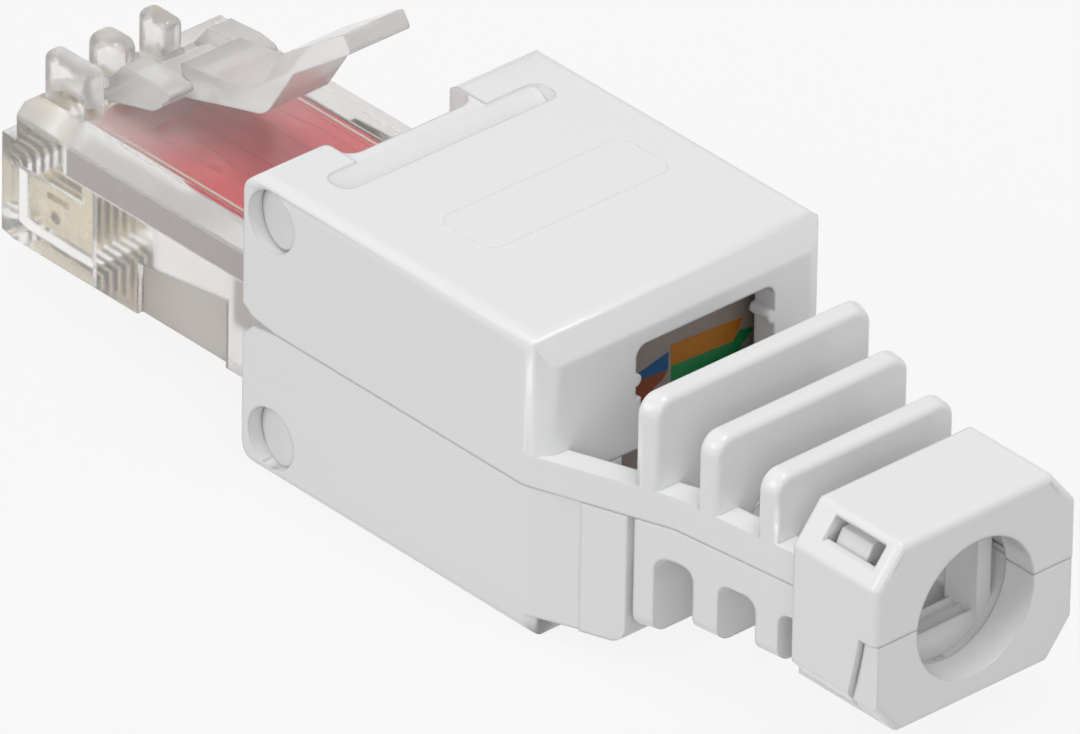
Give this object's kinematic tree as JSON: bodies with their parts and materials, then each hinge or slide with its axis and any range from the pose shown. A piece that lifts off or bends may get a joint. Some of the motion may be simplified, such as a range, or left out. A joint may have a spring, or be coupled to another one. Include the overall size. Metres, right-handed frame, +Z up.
{
  "type": "field termination ethernet plug",
  "caption": "Tool-free modular network plug: clear plug nose with locking lever, hinged white clamshell housing, inner board and terminals, and a ribbed strain relief with a cable collar.",
  "frame": {"origin": "under the middle of the whole plug, on the surface that the housing rests on", "axes": "+Y along the plug from its nose towards the cable, +Z up through the side with the locking lever, +X across"},
  "size_m": [0.0158, 0.0534, 0.0175],
  "materials": {
    "shell_white": "glossy white moulded plastic",
    "frame_white": "white moulded plastic, half gloss",
    "manager_grey": "dark moulded plastic, dull",
    "clear_plastic": "clear moulded plastic, slightly smoky",
    "board_red": "red solder mask",
    "contact_gold": "gold plated",
    "terminal_tin": "tin plated",
    "label_print": "printed film with fields of colour"
  },
  "bodies": {
    "plug": {"plug_body": "clear_plastic", "circuit_board": "board_red", "carrier_frame": "frame_white", "terminal_block_upper": "frame_white", "terminal_block_lower": "frame_white", "wire_manager": "manager_grey", "wiring_label": "label_print", "contact_1": "contact_gold", "contact_2": "contact_gold", "contact_3": "contact_gold", "contact_4": "contact_gold", "contact_5": "contact_gold", "contact_6": "contact_gold", "contact_7": "contact_gold", "contact_8": "contact_gold", "idc_terminal_1": "terminal_tin", "idc_terminal_2": "terminal_tin", "idc_terminal_3": "terminal_tin", "idc_terminal_4": "terminal_tin", "idc_terminal_5": "terminal_tin", "idc_terminal_6": "terminal_tin", "idc_terminal_7": "terminal_tin", "idc_terminal_8": "terminal_tin"},
    "latch": {"latch_lever": "clear_plastic"},
    "upper_cover": {"upper_shell": "shell_white"},
    "lower_cover": {"lower_shell": "shell_white"}
  },
  "joints": [
    {"name": "upper_shell_hinge", "type": "hinge", "parent": "plug", "child": "upper_cover", "pos_m": [0, -0.00738, 0.01235], "axis": [1, 0, 0], "range_deg": [0, 60]},
    {"name": "lower_shell_hinge", "type": "hinge", "parent": "plug", "child": "lower_cover", "pos_m": [0, -0.00728, 0.00196], "axis": [-1, 0, 0], "range_deg": [0, 55]},
    {"name": "latch_flex", "type": "hinge", "parent": "plug", "child": "latch", "pos_m": [0, -0.02333, 0.0092], "axis": [-1, 0, 0], "range_deg": [0, 10], "stiffness_Nm_per_rad": 0.02}
  ]
}
